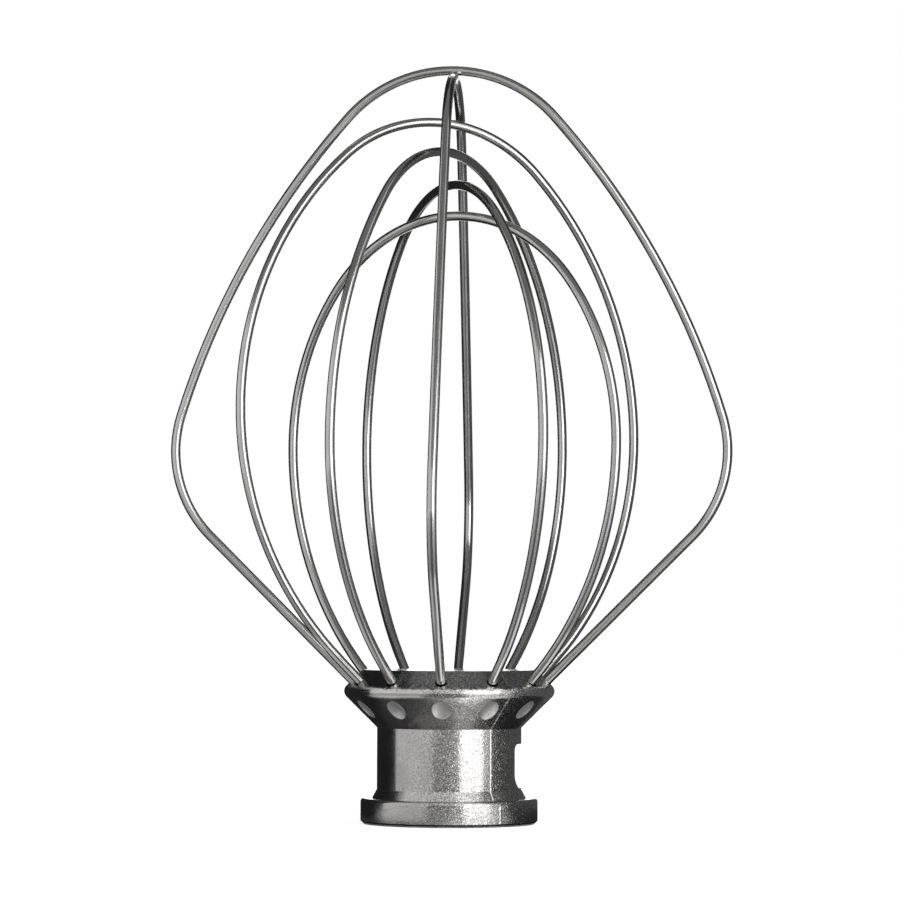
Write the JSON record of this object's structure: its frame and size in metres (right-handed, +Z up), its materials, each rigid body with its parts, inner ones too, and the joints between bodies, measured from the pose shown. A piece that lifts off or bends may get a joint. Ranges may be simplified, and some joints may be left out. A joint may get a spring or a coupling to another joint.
{
  "type": "wire whisk for a stand mixer",
  "caption": "Balloon whisk attachment for a stand mixer: bent steel wire loops staked into a flared cast hub with a shaft bore and a bayonet window.",
  "frame": {"origin": "centre of the hub's base, on the hub axis, at the height the base rests on", "axes": "+Z up along the hub axis to the crowns of the loops, +X along the widest loop, -Y toward the side that the picture shows"},
  "size_m": [0.1404, 0.1134, 0.1889],
  "materials": {
    "cast_metal": "tumbled casting, satin",
    "wire_metal": "drawn stainless wire"
  },
  "bodies": {
    "root": {"hub": "cast_metal", "wire_1": "wire_metal", "wire_2": "wire_metal", "wire_3": "wire_metal", "wire_4": "wire_metal", "wire_5": "wire_metal", "wire_6": "wire_metal"}
  },
  "joints": []
}
